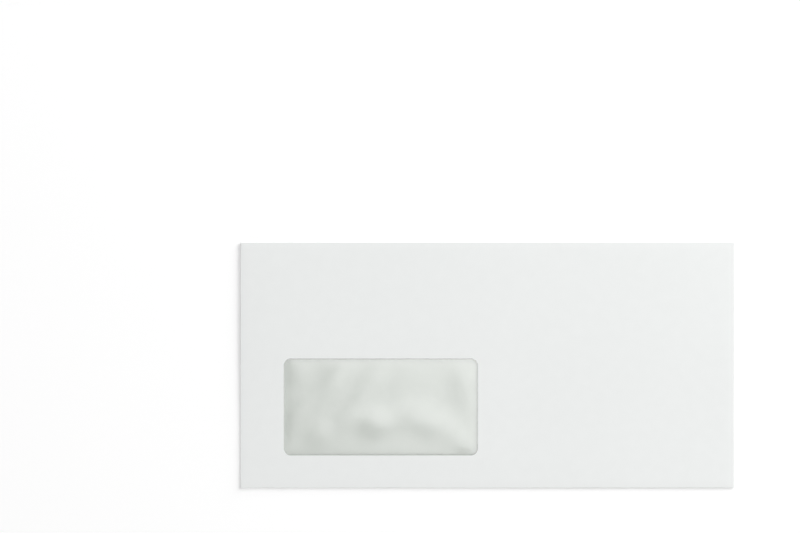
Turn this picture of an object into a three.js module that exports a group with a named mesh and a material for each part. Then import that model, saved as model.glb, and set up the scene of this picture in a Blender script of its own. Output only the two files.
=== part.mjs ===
// A window envelope for letters folded to a third, lying closed on a table with its window up.
// Millimetres, +Z up, +X to the right of the face and +Y towards the top fold. The origin is on
// the table, under the middle of the envelope.
//
// The envelope is one die-cut sheet of paper. It is drawn flat, as it leaves the die, and then
// taken round its four folds: two side flaps turn in, the back panel comes up and is glued over
// them, and the seal flap closes on the back. The other pieces are laid on it where they belong.
import * as THREE from 'three';

// The closed envelope and its paper
const ENVELOPE_WIDTH = 229;
const ENVELOPE_HEIGHT = 114;
const PAPER = 0.1;

// The window in the front panel, from the left and bottom folds
const WINDOW_WIDTH = 90;
const WINDOW_HEIGHT = 45;
const WINDOW_FROM_LEFT = 20;
const WINDOW_FROM_BOTTOM = 15;
const WINDOW_CORNER = 3.3;

// The film behind the window, and the line of glue that holds its rim
const FILM = 0.04;
const FILM_OVERLAP = 6;
const FILM_CORNER = 2;
const FILM_GLUE = 0.03;
const FILM_GLUE_WIDTH = 4;
const FILM_GLUE_FROM_WINDOW = 1;
const FILM_BULGE = 0.2;
const FILM_GRID = 4.5;

// The side flaps, inside the back panel
const SIDE_FLAP_WIDTH = 12.5;
const SIDE_SHOULDER_DROP = 4.4;
const SIDE_FLAP_CORNER = 1.2;
const SIDE_FOLD_RADIUS = 0.3;

// The back panel: its free edge is the throat, and its sides step in from the side folds
const THROAT_DEPTH = 17.5;
const BACK_INSET_AT_THROAT = 3;
const BACK_INSET_AT_FOOT = 1.6;
const BACK_FOOT_HEIGHT = 6;
const BACK_CORNER = 5.5;

// The glued seams between the back panel and the side flaps
const SEAM_GLUE = 0.03;
const SEAM_WIDTH = 5.6;
const SEAM_FROM_FOLD = 4.2;
const SEAM_FROM_THROAT = 5;
const SEAM_FROM_BOTTOM = 6;

// The seal flap, its self-adhesive strip and the release strip that covers the adhesive
const FLAP_HEIGHT = 37;
const FLAP_INSET_AT_EDGE = 12.7;
const FLAP_CORNER = 3;
const ADHESIVE = 0.03;
const ADHESIVE_HEIGHT = 12;
const ADHESIVE_MARGIN = 3.2;
const LINER = 0.06;
const LINER_WIDTH = 202;
const LINER_HEIGHT = 18.5;
const FLAP_CLEARANCE = 0.08;

// Where a layer is bonded to the next, this hair of room stays between their faces
const BOND_GAP = 0.01;

// Below the seal flap the body sinks by the flap's thickness over this length, down to the table
const SETTLE_LENGTH = 55;
const SETTLE_STEPS = 5;

// How finely curves are drawn
const BEND_STEPS = 8;
const CORNER_STEPS = 6;
const PANEL_GRID = 19;

/** A half turn of the sheet whose outside ends at `crest`, measured from the panel's middle. */
class Fold {
  constructor(crest, radius) {
    this.crest = crest;
    this.radius = radius;
    this.start = crest - radius - PAPER / 2;
    this.end = this.start + Math.PI * radius;
  }

  /** The place on the flat sheet of a point that ends `reach` inside the crest, folded back. */
  flat(reach) {
    return this.end + this.start - this.crest + reach;
  }

  /** The lines across the flat sheet where the bend is creased into small flat steps. */
  creases() {
    const step = (this.end - this.start) / BEND_STEPS;
    return Array.from({ length: BEND_STEPS + 1 }, (_, i) => this.start + i * step);
  }

  /** A flat distance taken round the bend, `rise` off the middle of the sheet. */
  turn(distance, rise) {
    const angle = THREE.MathUtils.clamp((distance - this.start) / this.radius, 0, Math.PI);
    const past = Math.max(0, distance - this.end);
    const before = Math.min(distance, this.start);
    return {
      along: before + (this.radius + rise) * Math.sin(angle) - past,
      up: rise * Math.cos(angle) - this.radius * (1 - Math.cos(angle)),
    };
  }
}

// The folds nest: the back panel closes over the glued side flaps, and the seal flap over both
const SEAM_STACK = PAPER + SEAM_GLUE + 2 * BOND_GAP;
const SEAL_STACK = PAPER + ADHESIVE + LINER + 2 * BOND_GAP + FLAP_CLEARANCE;
const sideFold = new Fold(ENVELOPE_WIDTH / 2, SIDE_FOLD_RADIUS);
const bottomFold = new Fold(ENVELOPE_HEIGHT / 2, SIDE_FOLD_RADIUS + SEAM_STACK / 2);
const topFold = new Fold(ENVELOPE_HEIGHT / 2, bottomFold.radius + SEAL_STACK / 2);

// Heights over the table of the middle of the paper in each panel, where the seal flap lies below
const FLAP_LEVEL = PAPER / 2;
const FRONT_LEVEL = FLAP_LEVEL + 2 * topFold.radius;
const SIDE_FLAP_LEVEL = FRONT_LEVEL - 2 * sideFold.radius;
const BACK_LEVEL = FRONT_LEVEL - 2 * bottomFold.radius;

const FLAP_EDGE = ENVELOPE_HEIGHT / 2 - FLAP_HEIGHT;
const THROAT = ENVELOPE_HEIGHT / 2 - THROAT_DEPTH;

/** The lines along which the body bends as it settles, from the seal flap's edge downwards. */
const settleLines = Array.from(
  { length: SETTLE_STEPS + 1 },
  (_, i) => FLAP_EDGE - (SETTLE_LENGTH * i) / SETTLE_STEPS,
);

/** How far the body has sunk at height `y` of the face, in straight runs between the lines. */
function settled(y) {
  const step = SETTLE_LENGTH / SETTLE_STEPS;
  const run = THREE.MathUtils.clamp((FLAP_EDGE - y) / step, 0, SETTLE_STEPS);
  const line = Math.min(Math.floor(run), SETTLE_STEPS - 1);
  const sunkAt = (i) => SEAL_STACK * THREE.MathUtils.smoothstep(i / SETTLE_STEPS, 0, 1);
  return THREE.MathUtils.lerp(sunkAt(line), sunkAt(line + 1), run - line);
}

/** A closed outline through corners given as [x, y, radius], with the round corners as arcs. */
function outline(corners) {
  const places = corners.map(([x, y]) => new THREE.Vector2(x, y));
  return corners.flatMap(([, , radius], i) => {
    const corner = places[i];
    if (!radius) return [corner];
    const back = places.at(i - 1).clone().sub(corner).normalize();
    const ahead = places[(i + 1) % places.length].clone().sub(corner).normalize();
    const half = Math.acos(back.dot(ahead)) / 2;
    const inward = back.clone().add(ahead).normalize();
    const centre = corner.clone().addScaledVector(inward, radius / Math.sin(half));
    const spoke = back.clone().multiplyScalar(radius / Math.tan(half)).add(corner).sub(centre);
    const sweep = (Math.PI - 2 * half) * Math.sign(ahead.cross(back));
    return Array.from({ length: CORNER_STEPS + 1 }, (_, step) => (
      spoke.clone().rotateAround(new THREE.Vector2(), (sweep * step) / CORNER_STEPS).add(centre)
    ));
  });
}

/** A rectangle with equal round corners. */
function panel(left, right, bottom, top, radius = 0) {
  return outline([
    [left, bottom, radius],
    [right, bottom, radius],
    [right, top, radius],
    [left, top, radius],
  ]);
}

/** Evenly spaced grid lines strictly between two ends, no further apart than `pitch`. */
function gridLines(from, to, pitch) {
  const count = Math.ceil((to - from) / pitch);
  return Array.from({ length: count - 1 }, (_, i) => from + ((i + 1) * (to - from)) / count);
}

/** Cuts convex polygons along the line where coordinate `axis` equals `at`. */
function cutAlong(polygons, axis, at) {
  const near = 1e-6;
  return polygons.flatMap((polygon) => {
    const side = polygon.map((point) => point[axis] - at);
    if (side.every((d) => d < near) || side.every((d) => d > -near)) return [polygon];
    const halves = [[], []];
    polygon.forEach((point, i) => {
      const next = polygon[(i + 1) % polygon.length];
      const [here, there] = [side[i], side[(i + 1) % polygon.length]];
      if (here < near) halves[0].push(point);
      if (here > -near) halves[1].push(point);
      if (Math.abs(here) > near && Math.abs(there) > near && here * there < 0) {
        const crossing = point.clone().lerp(next, here / (here - there));
        crossing[axis] = at;
        halves.forEach((half) => half.push(crossing));
      }
    });
    return halves;
  });
}

/**
 * A thin sheet as one closed solid. It is drawn flat, creased along the given lines, and each
 * point of its two faces is then put in its place by `place(x, y, rise)`.
 */
function sheet(edge, holes, lines, thickness, place) {
  const flat = [edge, ...holes].flat();
  let polygons = THREE.ShapeUtils.triangulateShape(edge, holes).map((ids) => ids.map((i) => flat[i]));
  for (const at of lines.x) polygons = cutAlong(polygons, 'x', at);
  for (const at of lines.y) polygons = cutAlong(polygons, 'y', at);

  // Points that fall together are one point, so that every crease is shared by both its sides
  const ids = new Map();
  const points = [];
  const idOf = (point) => {
    const key = `${Math.round(point.x * 1e5)},${Math.round(point.y * 1e5)}`;
    if (!ids.has(key)) {
      ids.set(key, points.length);
      points.push(point);
    }
    return ids.get(key);
  };
  const triangles = polygons.flatMap((polygon) => {
    const ring = polygon.map(idOf);
    return ring.slice(2).map((_, i) => [ring[0], ring[i + 1], ring[i + 2]]);
  });

  // An edge that only one triangle uses lies on the outline or round a hole, and gets a wall
  const used = new Set(triangles.flatMap(([a, b, c]) => [`${a},${b}`, `${b},${c}`, `${c},${a}`]));
  const rim = [...used].map((pair) => pair.split(',').map(Number)).filter(([a, b]) => !used.has(`${b},${a}`));
  const under = points.length;
  const index = [
    ...triangles.flat(),
    ...triangles.flatMap(([a, b, c]) => [c + under, b + under, a + under]),
    ...rim.flatMap(([a, b]) => [a, a + under, b, b, a + under, b + under]),
  ];
  const positions = [thickness / 2, -thickness / 2].flatMap((rise) => (
    points.flatMap(({ x, y }) => place(x, y, rise).toArray())
  ));
  const geometry = new THREE.BufferGeometry();
  geometry.setAttribute('position', new THREE.Float32BufferAttribute(positions, 3));
  geometry.setIndex(index);
  geometry.computeVertexNormals();
  return geometry;
}

/** Puts a layer of the body at its level, sunk with the rest of the body. */
function layer(level) {
  return (x, y, rise) => new THREE.Vector3(x, y, level + rise - settled(y));
}

/** Takes a point of the flat die-cut sheet round the fold that it lies beyond, if any. */
function fold(x, y, rise) {
  const point = new THREE.Vector3(x, y, rise);
  if (Math.abs(x) > sideFold.start) {
    const { along, up } = sideFold.turn(Math.abs(x), rise);
    point.set(Math.sign(x) * along, y, up);
  } else if (y > topFold.start) {
    const { along, up } = topFold.turn(y, rise);
    point.set(x, along, up);
  } else if (y < -bottomFold.start) {
    const { along, up } = bottomFold.turn(-y, rise);
    point.set(x, -along, up);
  }
  const sunk = y > topFold.end ? 0 : settled(point.y);
  return point.setZ(point.z + FRONT_LEVEL - sunk);
}

/** The window's outline, grown by `margin` all round. */
function windowOutline(margin, radius) {
  const left = WINDOW_FROM_LEFT - ENVELOPE_WIDTH / 2;
  const bottom = WINDOW_FROM_BOTTOM - ENVELOPE_HEIGHT / 2;
  return panel(
    left - margin,
    left + WINDOW_WIDTH + margin,
    bottom - margin,
    bottom + WINDOW_HEIGHT + margin,
    radius,
  );
}

/** The die-cut sheet with its window, folded shut. */
function envelopeBlank() {
  const halfWidth = ENVELOPE_WIDTH / 2;
  const sideFlapEdge = sideFold.flat(SIDE_FLAP_WIDTH);
  const right = [
    [halfWidth - BACK_INSET_AT_THROAT, -bottomFold.flat(ENVELOPE_HEIGHT - THROAT_DEPTH), BACK_CORNER],
    [halfWidth - BACK_INSET_AT_FOOT, -bottomFold.flat(BACK_FOOT_HEIGHT), 0],
    [sideFold.start, -bottomFold.start, 0],
    [sideFlapEdge, SIDE_SHOULDER_DROP - bottomFold.start, SIDE_FLAP_CORNER],
    [sideFlapEdge, topFold.start - SIDE_SHOULDER_DROP, SIDE_FLAP_CORNER],
    [sideFold.start, topFold.start, 0],
    [halfWidth - FLAP_INSET_AT_EDGE, topFold.flat(FLAP_HEIGHT), FLAP_CORNER],
  ];
  const left = right.map(([x, y, radius]) => [-x, y, radius]).reverse();
  const across = gridLines(-sideFold.start, sideFold.start, PANEL_GRID);
  const up = gridLines(-bottomFold.start, topFold.start, PANEL_GRID);
  const lines = {
    x: [...across, ...sideFold.creases(), ...sideFold.creases().map((at) => -at)],
    y: [
      ...up,
      ...settleLines,
      ...topFold.creases(),
      ...bottomFold.creases().map((at) => -at),
      ...settleLines.map((y) => -bottomFold.flat(y + ENVELOPE_HEIGHT / 2)),
    ],
  };
  return sheet(outline([...right, ...left]), [windowOutline(0, WINDOW_CORNER)], lines, PAPER, fold);
}

/** The film that closes the window from inside: flat where it is glued, in loose buckles between. */
function windowFilm() {
  const left = WINDOW_FROM_LEFT - ENVELOPE_WIDTH / 2;
  const bottom = WINDOW_FROM_BOTTOM - ENVELOPE_HEIGHT / 2;
  const level = FRONT_LEVEL - PAPER / 2 - FILM_GLUE - 2 * BOND_GAP - FILM / 2;
  const buckled = (x, y, rise) => {
    const across = (x - left) / WINDOW_WIDTH;
    const up = (y - bottom) / WINDOW_HEIGHT;
    const inside = (t) => THREE.MathUtils.smoothstep(Math.min(t, 1 - t), 0, 0.25);
    const slack = FILM_BULGE * inside(across) * inside(up);
    const mounds = 0.5 - 0.5 * Math.cos(2 * Math.PI * (3 * across + 0.3 * up));
    const streaks = 0.5 + 0.5 * Math.sin(2 * Math.PI * (2 * across - 1.2 * up + 0.2));
    const lift = slack * THREE.MathUtils.lerp(mounds, streaks, up);
    return layer(level + lift)(x, y, rise);
  };
  const lines = {
    x: gridLines(left - FILM_OVERLAP, left + WINDOW_WIDTH + FILM_OVERLAP, FILM_GRID),
    y: [
      ...gridLines(bottom - FILM_OVERLAP, bottom + WINDOW_HEIGHT + FILM_OVERLAP, FILM_GRID),
      ...settleLines,
    ],
  };
  return sheet(windowOutline(FILM_OVERLAP, FILM_CORNER), [], lines, FILM, buckled);
}

/** The closed line of glue round the window, between the front panel and the film. */
function windowGlue() {
  const outer = FILM_GLUE_FROM_WINDOW + FILM_GLUE_WIDTH;
  const ring = windowOutline(outer, FILM_CORNER);
  const opening = windowOutline(FILM_GLUE_FROM_WINDOW, WINDOW_CORNER);
  const level = FRONT_LEVEL - PAPER / 2 - BOND_GAP - FILM_GLUE / 2;
  return sheet(ring, [opening], { x: [], y: settleLines }, FILM_GLUE, layer(level));
}

/** One glued seam: side -1 is the left one and 1 the right one. */
function seamGlue(side) {
  const outer = side * (ENVELOPE_WIDTH / 2 - SEAM_FROM_FOLD);
  const inner = outer - side * SEAM_WIDTH;
  const foot = SEAM_FROM_BOTTOM - ENVELOPE_HEIGHT / 2;
  const strip = panel(Math.min(inner, outer), Math.max(inner, outer), foot, THROAT - SEAM_FROM_THROAT);
  const level = (SIDE_FLAP_LEVEL + BACK_LEVEL) / 2;
  return sheet(strip, [], { x: [], y: settleLines }, SEAM_GLUE, layer(level));
}

/** The adhesive strip on the inside of the seal flap, along its free edge. */
function sealAdhesive() {
  const half = LINER_WIDTH / 2 - ADHESIVE_MARGIN;
  const bottom = FLAP_EDGE + ADHESIVE_MARGIN;
  const strip = panel(-half, half, bottom, bottom + ADHESIVE_HEIGHT);
  const level = FLAP_LEVEL + PAPER / 2 + BOND_GAP + ADHESIVE / 2;
  return sheet(strip, [], { x: [], y: [] }, ADHESIVE, layer(level));
}

/** The release strip over the adhesive, cut flush with the flap's free edge. */
function releaseStrip() {
  const strip = panel(-LINER_WIDTH / 2, LINER_WIDTH / 2, FLAP_EDGE, FLAP_EDGE + LINER_HEIGHT);
  const level = FLAP_LEVEL + PAPER / 2 + ADHESIVE + 2 * BOND_GAP + LINER / 2;
  return sheet(strip, [], { x: [], y: [] }, LINER, layer(level));
}

/** A named piece of the envelope with its own finish. */
function piece(name, geometry, color, roughness) {
  const material = new THREE.MeshStandardMaterial({ color, roughness, metalness: 0 });
  const mesh = new THREE.Mesh(geometry, material);
  mesh.name = name;
  return mesh;
}

const envelope = new THREE.Group();
envelope.add(
  piece('envelope_blank', envelopeBlank(), 0xecefee, 0.75),
  piece('window_film', windowFilm(), 0xd6dbd6, 0.25),
  piece('window_glue', windowGlue(), 0xe6e2d2, 0.5),
  piece('left_seam_glue', seamGlue(-1), 0xe6e2d2, 0.5),
  piece('right_seam_glue', seamGlue(1), 0xe6e2d2, 0.5),
  piece('seal_adhesive', sealAdhesive(), 0xd9dccb, 0.4),
  piece('release_strip', releaseStrip(), 0xe4e7e3, 0.45),
);

export default envelope;
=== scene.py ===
import math

import bmesh
import bpy
from mathutils import Matrix, Vector


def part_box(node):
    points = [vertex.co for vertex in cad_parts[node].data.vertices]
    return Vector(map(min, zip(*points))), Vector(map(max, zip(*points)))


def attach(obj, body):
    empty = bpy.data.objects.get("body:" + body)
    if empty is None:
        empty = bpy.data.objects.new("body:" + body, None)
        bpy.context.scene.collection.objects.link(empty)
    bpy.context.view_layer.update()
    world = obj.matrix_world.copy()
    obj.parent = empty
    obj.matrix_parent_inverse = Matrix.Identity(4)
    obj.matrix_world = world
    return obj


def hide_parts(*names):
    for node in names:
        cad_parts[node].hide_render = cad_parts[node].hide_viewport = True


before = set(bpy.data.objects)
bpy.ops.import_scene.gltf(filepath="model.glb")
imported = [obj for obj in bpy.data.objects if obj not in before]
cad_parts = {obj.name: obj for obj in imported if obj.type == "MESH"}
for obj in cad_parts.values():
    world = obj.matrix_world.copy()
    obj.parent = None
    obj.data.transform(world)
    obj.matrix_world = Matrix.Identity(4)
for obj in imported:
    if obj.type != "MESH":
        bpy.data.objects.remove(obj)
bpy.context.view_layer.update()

# The envelope sheet: one die-cut sheet of smooth white paper with a grey-green tint printed on
# its inside. It is drawn flat as it leaves the die, and then folded: the side flaps turn in, the
# back panel comes up over them, and the seal flap closes on the back.
MM = 0.001
PAPER = 0.1 * MM
SIDE_FLAP_WIDTH = 12.5 * MM
SIDE_SHOULDER_DROP = 4.4 * MM
SIDE_FLAP_CORNER = 1.2 * MM
SIDE_FOLD_RADIUS = 0.3 * MM
FOLD_FLATNESS = 0.45
SEAM_STACK = 0.15 * MM
THROAT_DEPTH = 17.5 * MM
BACK_INSET_AT_THROAT = 3 * MM
BACK_INSET_AT_FOOT = 1.6 * MM
BACK_FOOT_HEIGHT = 6 * MM
BACK_CORNER = 5.5 * MM
FLAP_HEIGHT = 37 * MM
FLAP_INSET_AT_EDGE = 12.7 * MM
FLAP_CORNER = 3 * MM
FILM_OVERLAP = 6 * MM
WINDOW_CORNER = 3.3 * MM
SETTLE_LENGTH = 55 * MM
PANEL_GRID = 4 * MM
FOLD_GRID = 0.8 * MM
FOLD_BRINK = 0.06 * MM
BEND_STEPS = 14
ARC_STEPS = 12
SHARP_EDGE = math.radians(35)
CUT_TOLERANCE = 1e-8
SLANT_TOLERANCE = 1e-7
FRONT_WAVE = 0.1 * MM
FRONT_WAVE_LENGTH = 95 * MM
FRONT_WAVE_SLANT = 0.6
FRONT_WAVE_FROM_FOLD = 12 * MM
FRONT_WAVE_FROM_WINDOW = 25 * MM
FOLD_ROLL = 0.06 * MM
FOLD_ROLL_WIDTH = 2.5 * MM
FRONT_PILLOW = 0.07 * MM
FRONT_PILLOW_WIDTH = 13 * MM

sheet_low, sheet_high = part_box("envelope_blank")
film_low, film_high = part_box("window_film")
half_width = sheet_high.x
half_height = sheet_high.y
front_level = sheet_high.z - PAPER / 2
flap_edge = half_height - FLAP_HEIGHT
window_left = film_low.x + FILM_OVERLAP
window_right = film_high.x - FILM_OVERLAP
window_bottom = film_low.y + FILM_OVERLAP
window_top = film_high.y - FILM_OVERLAP


def smooth(value):
    """Eases a value from 0 to 1, flat at both ends."""
    value = min(max(value, 0), 1)
    return value * value * (3 - 2 * value)


class Fold:
    """A pressed half turn of the sheet whose outside ends at `crest`, measured from the panel's
    middle. Its bend is narrower across than it is high."""

    def __init__(self, crest, radius):
        self.crest = crest
        self.radius = radius
        self.start = crest - FOLD_FLATNESS * (radius + PAPER / 2)
        self.end = self.start + math.pi * radius

    def flat(self, reach):
        """The place on the flat sheet of a point that ends `reach` inside the crest."""
        return self.end + self.start - self.crest + reach

    def creases(self):
        """The lines across the flat sheet where the bend is stepped."""
        step = (self.end - self.start) / BEND_STEPS
        return [self.start + i * step for i in range(BEND_STEPS + 1)]

    def turn(self, distance, rise):
        """A flat distance taken round the bend, `rise` off the middle of the sheet."""
        angle = min(max((distance - self.start) / self.radius, 0), math.pi)
        past = max(0, distance - self.end)
        bulge = FOLD_FLATNESS * (self.radius + rise) * math.sin(angle)
        along = min(distance, self.start) + bulge - past
        rolled = (FOLD_ROLL + FRONT_PILLOW) * (1 + math.cos(angle)) / 2
        return along, rise * math.cos(angle) - self.radius * (1 - math.cos(angle)) - rolled


side_fold = Fold(half_width, SIDE_FOLD_RADIUS)
bottom_fold = Fold(half_height, SIDE_FOLD_RADIUS + SEAM_STACK / 2)
top_fold = Fold(half_height, (front_level - PAPER / 2) / 2)
settle_depth = 2 * (top_fold.radius - bottom_fold.radius)


def settled(y):
    """How far the body sinks below the seal flap's edge, down to the table."""
    return settle_depth * smooth((flap_edge - y) / SETTLE_LENGTH)


def front_dip(x, y):
    """The front panel's slight hollow waves, none at its window, and its roll into the folds."""
    from_side = side_fold.start - abs(x)
    from_end = min(bottom_fold.start + y, top_fold.start - y)
    from_fold = min(from_side, from_end)
    rolled = FOLD_ROLL * (1 - smooth(from_fold / FOLD_ROLL_WIDTH))
    full = smooth(from_side / FRONT_PILLOW_WIDTH) * smooth(from_end / FRONT_PILLOW_WIDTH)
    rolled += FRONT_PILLOW * (1 - full)
    eased = smooth(from_fold / FRONT_WAVE_FROM_FOLD)
    aside = max(window_left - x, x - window_right, window_bottom - y, y - window_top)
    turn = math.tau * (x - FRONT_WAVE_SLANT * y) / FRONT_WAVE_LENGTH
    wave = 0.5 + 0.5 * math.sin(turn)
    return rolled + FRONT_WAVE * wave * eased * smooth(aside / FRONT_WAVE_FROM_WINDOW)


def fold_sheet(x, y, rise):
    """Takes a point of the flat die-cut sheet round the fold that it lies beyond, if any."""
    if abs(x) > side_fold.start:
        along, up = side_fold.turn(abs(x), rise)
        point = Vector((math.copysign(along, x), y, up))
    elif y > top_fold.start:
        along, up = top_fold.turn(y, rise)
        point = Vector((x, along, up))
    elif y < -bottom_fold.start:
        along, up = bottom_fold.turn(-y, rise)
        point = Vector((x, -along, up))
    else:
        point = Vector((x, y, rise - front_dip(x, y)))
    sunk = 0 if y > top_fold.end else settled(point.y)
    point.z += front_level - sunk
    return point


def rounded(corners):
    """An outline through corners given as (x, y, radius), with the round corners as arcs."""
    places = [Vector((x, y)) for x, y, _ in corners]
    line = []
    for i, corner in enumerate(places):
        radius = corners[i][2]
        if not radius:
            line.append(corner)
            continue
        back = (places[i - 1] - corner).normalized()
        ahead = (places[(i + 1) % len(places)] - corner).normalized()
        half = back.angle(ahead) / 2
        centre = corner + (back + ahead).normalized() * radius / math.sin(half)
        spoke = corner + back * radius / math.tan(half) - centre
        sweep = math.copysign(math.pi - 2 * half, ahead.cross(back))
        for step in range(ARC_STEPS + 1):
            line.append(centre + Matrix.Rotation(sweep * step / ARC_STEPS, 2) @ spoke)
    return line


def rectangle(left, right, bottom, top, radius=0):
    """A rectangular outline with equal corners."""
    return rounded([
        (left, bottom, radius),
        (right, bottom, radius),
        (right, top, radius),
        (left, top, radius),
    ])


def grid_lines(low, high, pitch):
    """Evenly spaced lines strictly between two ends, no further apart than the pitch."""
    count = math.ceil((high - low) / pitch)
    return [low + (high - low) * i / count for i in range(1, count)]


def flat_sheet(outline, holes, across, up):
    """A flat mesh inside an outline and round its holes, cut along lines of equal x or y."""
    flat = bmesh.new()
    for ring in [outline, *holes]:
        corners = [flat.verts.new((x, y, 0)) for x, y in ring]
        for here, there in zip(corners, corners[1:] + corners[:1]):
            flat.edges.new((here, there))
    bmesh.ops.triangle_fill(flat, use_beauty=True, edges=flat.edges[:], normal=(0, 0, 1))
    for axis, places in ((0, across), (1, up)):
        normal = Vector((0, 0, 0))
        normal[axis] = 1
        for at in places:
            everything = [*flat.verts, *flat.edges, *flat.faces]
            bmesh.ops.bisect_plane(
                flat, geom=everything, dist=CUT_TOLERANCE, plane_co=normal * at, plane_no=normal
            )
    slanted = [
        edge for edge in flat.edges
        if len(edge.link_faces) == 2
        and min(map(abs, (edge.verts[0].co - edge.verts[1].co).xy)) > SLANT_TOLERANCE
    ]
    bmesh.ops.dissolve_edges(flat, edges=slanted, use_verts=False)
    for face in flat.faces:
        if face.normal.z < 0:
            face.normal_flip()
    return flat


def closed_sheet(name, flat, thickness, place, finishes):
    """A flat sheet given its thickness and put in place point by point. The finishes are those
    of its upper face, its under face and its cut rim."""
    flat.verts.index_update()
    count = len(flat.verts)
    points = [place(v.co.x, v.co.y, thickness / 2) for v in flat.verts]
    points += [place(v.co.x, v.co.y, -thickness / 2) for v in flat.verts]
    upper = [[v.index for v in face.verts] for face in flat.faces]
    under = [[i + count for i in reversed(ring)] for ring in upper]
    rim = []
    for face in flat.faces:
        for loop in face.loops:
            if len(loop.edge.link_faces) == 1:
                a, b = loop.vert.index, loop.link_loop_next.vert.index
                rim.append([a, a + count, b + count, b])
    flat.free()
    mesh = bpy.data.meshes.new(name)
    mesh.from_pydata(points, [], upper + under + rim)
    for finish in finishes:
        mesh.materials.append(finish)
    last = len(finishes) - 1
    for number, polygon in enumerate(mesh.polygons):
        side = (number >= len(upper)) + (number >= 2 * len(upper))
        polygon.material_index = min(side, last)
        polygon.use_smooth = True
    mesh.set_sharp_from_angle(angle=SHARP_EDGE)
    piece = bpy.data.objects.new(name, mesh)
    bpy.context.scene.collection.objects.link(piece)
    return piece


class Tone:
    """A value or colour that varies over a surface. Values are worked out as arithmetic."""

    def __init__(self, finish, socket):
        self.finish = finish
        self.socket = socket

    def _sum(self, operation, first, second):
        return self.finish.node("ShaderNodeMath", {"operation": operation}, {0: first, 1: second})

    def __add__(self, other):
        return self._sum("ADD", self, other)

    def __mul__(self, other):
        return self._sum("MULTIPLY", self, other)

    def __gt__(self, other):
        return self._sum("GREATER_THAN", self, other)

    def __lt__(self, other):
        return self._sum("LESS_THAN", self, other)

    __radd__ = __add__
    __rmul__ = __mul__


class Finish:
    """The look of a material, or of the world's light, built node by node."""

    def __init__(self, holder):
        self.holder = holder
        holder.use_nodes = True
        self.tree = holder.node_tree
        self.tree.nodes.clear()

    def node(self, kind, settings=None, sockets=None, output=0):
        """Adds a node of a kind: first its settings, then the values or links of its sockets."""
        made = self.tree.nodes.new(kind)
        for key, value in (settings or {}).items():
            setattr(made, key, value)
        for key, value in (sockets or {}).items():
            if isinstance(value, Tone):
                self.tree.links.new(value.socket, made.inputs[key])
            else:
                made.inputs[key].default_value = value
        return Tone(self, made.outputs[output])

    def place(self):
        """The x, y and z of the surface in the envelope's own frame."""
        where = self.node("ShaderNodeTexCoord", output="Object")
        return [self.node("ShaderNodeSeparateXYZ", {}, {0: where}, axis) for axis in range(3)]

    def noise(self, size, detail=2, roughness=0.5, stretch=(1, 1, 1)):
        """Soft noise from 0 to 1, with features of about the given size."""
        where = self.node("ShaderNodeTexCoord", output="Object")
        scaled = self.node("ShaderNodeMapping", {}, {"Vector": where, "Scale": stretch})
        return self.node("ShaderNodeTexNoise", {}, {
            "Vector": scaled, "Scale": 1 / size, "Detail": detail, "Roughness": roughness,
        })

    def mix(self, share, first, second):
        """One colour passing into another."""
        return self.node(
            "ShaderNodeMix", {"data_type": "RGBA"}, {"Factor": share, 6: first, 7: second}, 2
        )

    def clamp(self, value, low, high):
        """Where a value lies between two levels, from 0 to 1."""
        return self.node("ShaderNodeMapRange", {"interpolation_type": "SMOOTHSTEP"}, {
            "Value": value, "From Min": low, "From Max": high,
        })

    def bump(self, height, depth):
        """Fine relief, `depth` high, from a value from 0 to 1."""
        return self.node("ShaderNodeBump", {}, {"Height": height, "Strength": 1, "Distance": depth})

    def surface(self, shader):
        """Ends the nodes in a shader, and gives back the material or world that they belong to."""
        ends = {
            bpy.types.Material: "ShaderNodeOutputMaterial",
            bpy.types.World: "ShaderNodeOutputWorld",
        }
        end = self.tree.nodes.new(ends[type(self.holder)])
        self.tree.links.new(shader.socket, end.inputs["Surface"])
        return self.holder


WHITE_PAPER = (0.868, 0.884, 0.876, 1)
SHADED_PAPER = (0.858, 0.874, 0.866, 1)
TINT_LIGHT = (0.700, 0.738, 0.690, 1)
TINT_DARK = (0.620, 0.664, 0.606, 1)
CLOUD_SIZE = 5 * MM
FIBRE_SIZE = 0.35 * MM
SPECKLE_SIZE = 0.8 * MM
PAPER_RELIEF = 0.006 * MM
UNPRINTED_MARGIN = 14.8 * MM


def paper_relief(finish):
    """The felt of fibres on an uncoated sheet."""
    fibres = finish.noise(FIBRE_SIZE, detail=3, stretch=(1, 1.6, 1))
    return finish.bump(fibres, PAPER_RELIEF)


def white_face():
    """The outside of the sheet: smooth white, faintly clouded, with hardly any gloss."""
    finish = Finish(bpy.data.materials.new("paper_outside"))
    clouds = finish.noise(CLOUD_SIZE, detail=3)
    fibres = finish.noise(FIBRE_SIZE, detail=2)
    share = finish.clamp(clouds * 0.7 + fibres * 0.3, 0.3, 0.7)
    return finish.surface(finish.node("ShaderNodeBsdfPrincipled", {}, {
        "Base Color": finish.mix(share, SHADED_PAPER, WHITE_PAPER),
        "Roughness": 0.62 + 0.12 * fibres,
        "Specular IOR Level": 0.35,
        "Normal": paper_relief(finish),
    }))


def tinted_face():
    """The inside: a fine speckled grey-green tint, left off where the flap takes its adhesive."""
    finish = Finish(bpy.data.materials.new("paper_inside_tint"))
    _, y, z = finish.place()
    speckle = finish.noise(SPECKLE_SIZE, detail=2, roughness=0.6)
    clouds = finish.noise(CLOUD_SIZE, detail=2)
    tint = finish.mix(finish.clamp(speckle * 0.6 + clouds * 0.4, 0.35, 0.65), TINT_DARK, TINT_LIGHT)
    on_flap = (z < 2 * PAPER) * (y > flap_edge)
    bare = on_flap * (y < flap_edge + UNPRINTED_MARGIN)
    return finish.surface(finish.node("ShaderNodeBsdfPrincipled", {}, {
        "Base Color": finish.mix(bare, tint, WHITE_PAPER),
        "Roughness": 0.7 + 0.1 * speckle,
        "Specular IOR Level": 0.3,
        "Normal": paper_relief(finish),
    }))


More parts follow.
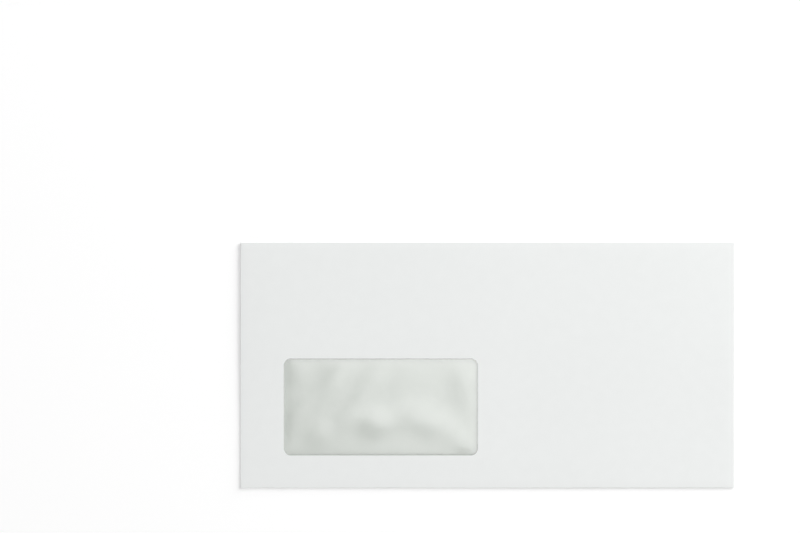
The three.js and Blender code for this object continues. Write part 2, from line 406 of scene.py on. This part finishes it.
def cut_face():
    """The cut rim: bare fibres, a little duller than the face."""
    finish = Finish(bpy.data.materials.new("paper_cut_edge"))
    fibres = finish.noise(FIBRE_SIZE, detail=3)
    return finish.surface(finish.node("ShaderNodeBsdfPrincipled", {}, {
        "Base Color": finish.mix(fibres, SHADED_PAPER, WHITE_PAPER),
        "Roughness": 0.85,
        "Normal": paper_relief(finish),
    }))


side_flap_edge = side_fold.flat(SIDE_FLAP_WIDTH)
back_edge = bottom_fold.flat(2 * half_height - THROAT_DEPTH)
right_half = [
    (half_width - BACK_INSET_AT_THROAT, -back_edge, BACK_CORNER),
    (half_width - BACK_INSET_AT_FOOT, -bottom_fold.flat(BACK_FOOT_HEIGHT), 0),
    (side_fold.start, -bottom_fold.start, 0),
    (side_flap_edge, SIDE_SHOULDER_DROP - bottom_fold.start, SIDE_FLAP_CORNER),
    (side_flap_edge, top_fold.start - SIDE_SHOULDER_DROP, SIDE_FLAP_CORNER),
    (side_fold.start, top_fold.start, 0),
    (half_width - FLAP_INSET_AT_EDGE, top_fold.flat(FLAP_HEIGHT), FLAP_CORNER),
]
left_half = [(-x, y, radius) for x, y, radius in reversed(right_half)]
panel_up = grid_lines(-bottom_fold.start, top_fold.start, PANEL_GRID)
beside_fold = [FOLD_BRINK, FOLD_GRID, 2 * FOLD_GRID, FOLD_ROLL_WIDTH]
flat = flat_sheet(
    rounded(right_half + left_half),
    [rectangle(window_left, window_right, window_bottom, window_top, WINDOW_CORNER)],
    [
        *grid_lines(-side_fold.start, side_fold.start, PANEL_GRID),
        *side_fold.creases(),
        *(-at for at in side_fold.creases()),
        *(side_fold.start - aside for aside in beside_fold),
        *(aside - side_fold.start for aside in beside_fold),
    ],
    [
        *panel_up,
        *top_fold.creases(),
        *(-at for at in bottom_fold.creases()),
        *(top_fold.start - aside for aside in beside_fold),
        *(aside - bottom_fold.start for aside in beside_fold),
        *(-bottom_fold.flat(y + half_height) for y in panel_up if y < half_height - THROAT_DEPTH),
    ],
)
sheet = closed_sheet(
    "folded_sheet", flat, PAPER, fold_sheet, [white_face(), tinted_face(), cut_face()]
)
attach(sheet, "root")
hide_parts("envelope_blank")


# The glue: a closed line round the window, and one band down each side between the side flap and
# the back panel. It is a white dispersion, rolled on and dried almost clear.
GLUE_DRY = (0.78, 0.77, 0.70, 1)
GLUE_THICK = (0.70, 0.68, 0.58, 1)
GLUE_RIB = 1.2 * MM
GLUE_RELIEF = 0.004 * MM


def dried_glue():
    """Dried dispersion glue with the ribs that the roller leaves."""
    finish = Finish(bpy.data.materials.new("dried_glue"))
    ribs = finish.noise(GLUE_RIB, detail=2, stretch=(1, 0.25, 1))
    return finish.surface(finish.node("ShaderNodeBsdfPrincipled", {}, {
        "Base Color": finish.mix(ribs, GLUE_DRY, GLUE_THICK),
        "Roughness": 0.35 + 0.25 * ribs,
        "Normal": finish.bump(ribs, GLUE_RELIEF),
    }))


glue_finish = dried_glue()
for name in ("window_glue", "left_seam_glue", "right_seam_glue"):
    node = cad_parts[name]
    node.data.materials.clear()
    node.data.materials.append(glue_finish)


# The window film: thin clear polystyrene, glued to the inside of the front panel round its rim.
# Between the glue it lies loose, so it buckles and catches the light in soft streaks.
FILM = 0.04 * MM
FILM_CORNER = 2 * MM
FILM_GRID = 1 * MM
FILM_BULGE = 0.02 * MM
FILM_RIM = 4 * MM
FILM_DIP = 0.08 * MM
FILM_DIP_WIDTH = 0.5 * MM
FILM_SPRING = 0.07 * MM
FILM_SPRING_WIDTH = 0.5 * MM
FILM_UNDER_FRONT = 0.12 * MM
FILM_HAZE = (0.74, 0.77, 0.735, 1)
FILM_STREAKED_HAZE = (0.78, 0.805, 0.775, 1)
FILM_CLOUD = 9 * MM

# Each buckle is given in mm and degrees: its middle from the window's lower left corner,
# its length and width, the way that it leans, and how far it lifts
BUCKLES = [
    # across, up, length, width, lean, lift
    (17, 10, 12, 10, 40, 0.15),
    (42.5, 15, 16, 12.5, 0, 0.32),
    (57.5, 19, 17, 15, 0, 0.2),
    (69, 14, 14, 13, 165, 0.2),
    (81, 8, 20, 11, 135, 0.12),
    (22.5, 33, 30, 10, 55, 0.21),
    (7.5, 20, 22, 9, 54, 0.19),
    (38, 30, 26, 9.5, 53, 0.165),
    (28, 15.5, 18, 12, 55, 0.13),
    (7, 38, 16, 10, 75, 0.1),
    (84, 38, 14, 10, 130, 0.04),
    (84, 31, 24, 13, 97, 0.18),
    (58, 35, 26, 18, 10, 0.08),
]


def buckle(across, up, length, width, lean, rise):
    """How far one buckle lifts the film at a place measured from its middle."""
    turn = math.radians(lean)
    along = across * math.cos(turn) + up * math.sin(turn)
    aside = up * math.cos(turn) - across * math.sin(turn)
    return rise * math.exp(-((2 * along / length) ** 2) - (2 * aside / width) ** 2)


def film_level(x, y):
    """The film's height over the table. Taut at its glued rim and buckled inside it, it dips at
    the window's foot and springs up towards the paper along the top."""
    across, up = x - window_left, y - window_bottom
    wide, high = window_right - window_left, window_top - window_bottom
    from_side = smooth(min(across, wide - across) / FILM_RIM)
    free = from_side * smooth(min(up, high - up) / FILM_RIM)
    lift = FILM_BULGE + MM * sum(
        buckle(across / MM - middle_x, up / MM - middle_y, *shape)
        for middle_x, middle_y, *shape in BUCKLES
    )
    from_foot = math.hypot(up, max(-across, across - wide, 0))
    dip = FILM_DIP * math.exp(-((from_foot / FILM_DIP_WIDTH) ** 2))
    top_half = smooth(2 * up / high - 1) * smooth((high - up) / FILM_SPRING_WIDTH)
    spring = FILM_SPRING * from_side * top_half
    return front_level - FILM_UNDER_FRONT - settled(y) + lift * free - dip + spring


def clear_film():
    """Clear film with a soft haze: gloss over a see-through sheet."""
    finish = Finish(bpy.data.materials.new("clear_film"))
    haze = finish.noise(FILM_CLOUD, detail=2)
    return finish.surface(finish.node("ShaderNodeBsdfPrincipled", {}, {
        "Base Color": finish.mix(haze, FILM_HAZE, FILM_STREAKED_HAZE),
        "Roughness": 0.16 + 0.08 * haze,
        "Specular IOR Level": 1.0,
        "IOR": 1.7,
        "Alpha": 0.36,
    }))


# The lines close beside the window's foot and top, where the film's level changes fast
beside_rim = [-1 * MM, -0.5 * MM, 0, 0.25 * MM, 0.5 * MM, 0.75 * MM]
film_lines = [
    [
        window_left,
        *grid_lines(window_left, window_right, FILM_GRID),
        window_right,
    ],
    [
        *(window_top - aside for aside in beside_rim),
        *grid_lines(window_bottom, window_top, FILM_GRID),
        *(window_bottom + aside for aside in beside_rim),
    ],
]
film = closed_sheet(
    "clear_window_film",
    flat_sheet(
        rectangle(film_low.x, film_high.x, film_low.y, film_high.y, FILM_CORNER), [], *film_lines
    ),
    FILM,
    lambda x, y, rise: Vector((x, y, film_level(x, y) + rise)),
    [clear_film()],
)
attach(film, "root")
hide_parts("window_film")


# The self-adhesive strip on the seal flap, and the silicone paper that is peeled off it. The
# strip is cut flush with the flap's free edge.
ADHESIVE_TONE = (0.74, 0.76, 0.66, 1)
ADHESIVE_RIB = 0.8 * MM
ADHESIVE_RELIEF = 0.003 * MM
LINER_TONE = (0.74, 0.76, 0.735, 1)
LINER_CLOUD = (0.69, 0.715, 0.69, 1)
LINER_CLOUD_SIZE = 3 * MM
LINER_RELIEF = 0.004 * MM


def adhesive():
    """A clear, tacky coat with a slight ribbed gloss."""
    finish = Finish(bpy.data.materials.new("tacky_adhesive"))
    ribs = finish.noise(ADHESIVE_RIB, detail=1, stretch=(0.2, 1, 1))
    return finish.surface(finish.node("ShaderNodeBsdfPrincipled", {}, {
        "Base Color": finish.mix(ribs, ADHESIVE_TONE, WHITE_PAPER),
        "Roughness": 0.18 + 0.15 * ribs,
        "Normal": finish.bump(ribs, ADHESIVE_RELIEF),
    }))


def release_paper():
    """Translucent silicone paper: dense, cloudy and satin."""
    finish = Finish(bpy.data.materials.new("release_paper"))
    clouds = finish.noise(LINER_CLOUD_SIZE, detail=3)
    return finish.surface(finish.node("ShaderNodeBsdfPrincipled", {}, {
        "Base Color": finish.mix(clouds, LINER_CLOUD, LINER_TONE),
        "Roughness": 0.35 + 0.1 * clouds,
        "Normal": finish.bump(clouds, LINER_RELIEF),
    }))


for name, finish in (("seal_adhesive", adhesive()), ("release_strip", release_paper())):
    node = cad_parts[name]
    node.data.materials.clear()
    node.data.materials.append(finish)


# The table and the light: a plain white table and a large soft lamp low at the upper right, which
# leaves a narrow shadow along the left and bottom folds. A wide one far overhead shines in the
# film, and one low at the lower left fills the shaded folds.
FLOOR_SIZE = 6.0
FLOOR_TONE = (0.80, 0.80, 0.80, 1)
FLOOR_GLOW = 0.28
WORLD_FILL = (0.24, 0.24, 0.24, 1)


def seen_directly(finish):
    """1 for what the camera sees straight, in a mirror or through glass, and 0 for lighting."""
    path = [
        finish.node("ShaderNodeLightPath", output=name)
        for name in ("Is Camera Ray", "Is Glossy Ray", "Is Transmission Ray")
    ]
    return finish.node("ShaderNodeClamp", {}, {"Value": path[0] + path[1] + path[2]})


table_mesh = bpy.data.meshes.new("table")
corner = FLOOR_SIZE / 2
table_mesh.from_pydata(
    [(-corner, -corner, 0), (corner, -corner, 0), (corner, corner, 0), (-corner, corner, 0)],
    [],
    [(0, 1, 2, 3)],
)
table = bpy.data.objects.new("table", table_mesh)
bpy.context.scene.collection.objects.link(table)
table_finish = Finish(bpy.data.materials.new("white_table"))
glow = table_finish.mix(seen_directly(table_finish), (0, 0, 0, 1), (1, 1, 1, 1))
table_mesh.materials.append(table_finish.surface(
    table_finish.node("ShaderNodeBsdfPrincipled", {}, {
        "Base Color": FLOOR_TONE,
        "Roughness": 0.9,
        "Specular IOR Level": 0.0,
        "Emission Color": glow,
        "Emission Strength": FLOOR_GLOW,
    })
))

studio = Finish(bpy.data.worlds.new("studio"))
bpy.context.scene.world = studio.surface(studio.node("ShaderNodeBackground", {}, {
    "Color": studio.mix(seen_directly(studio), WORLD_FILL, (1, 1, 1, 1)),
    "Strength": 1.0,
}))


def lamp(name, place, size, watts):
    """A round soft lamp that faces the envelope."""
    light = bpy.data.lights.new(name, "AREA")
    light.shape = "DISK"
    light.size = size
    light.energy = watts
    made = bpy.data.objects.new(name, light)
    made.location = place
    made.rotation_mode = "QUATERNION"
    made.rotation_quaternion = Vector(place).to_track_quat("Z", "Y")
    made.visible_camera = False
    bpy.context.scene.collection.objects.link(made)


lamp("side_lamp", (1.68, 1.44, 0.78), size=1.6, watts=84)
lamp("overhead_lamp", (1.11, 0.5, 10), size=4.1, watts=171)
lamp("fill_lamp", (-1.20, -2.10, 0.50), size=1.2, watts=26)


# The camera: straight over the table on a long lens. The envelope's left, right and bottom edges
# lie where the photograph has them, and are given in its pixels.
PICTURE_WIDTH = 800
PICTURE_HEIGHT = 533
ENVELOPE_LEFT = 240.6
ENVELOPE_RIGHT = 734.4
ENVELOPE_BOTTOM = 487.9
LENS = 100.0
SENSOR = 36.0
CLIP_NEAR = 0.05
CLIP_FAR = 20.0

pixel = (sheet_high.x - sheet_low.x) / (ENVELOPE_RIGHT - ENVELOPE_LEFT)
camera_x = pixel * (PICTURE_WIDTH - ENVELOPE_LEFT - ENVELOPE_RIGHT) / 2
camera_y = sheet_low.y + pixel * (ENVELOPE_BOTTOM - PICTURE_HEIGHT / 2)
camera_data = bpy.data.cameras.new("camera")
camera_data.lens = LENS
camera_data.sensor_width = SENSOR
camera_data.clip_start = CLIP_NEAR
camera_data.clip_end = CLIP_FAR
camera = bpy.data.objects.new("camera", camera_data)
camera.location = (camera_x, camera_y, sheet_high.z + PICTURE_WIDTH * pixel * LENS / SENSOR)
bpy.context.scene.collection.objects.link(camera)
bpy.context.scene.camera = camera
bpy.context.scene.view_settings.view_transform = "Standard"
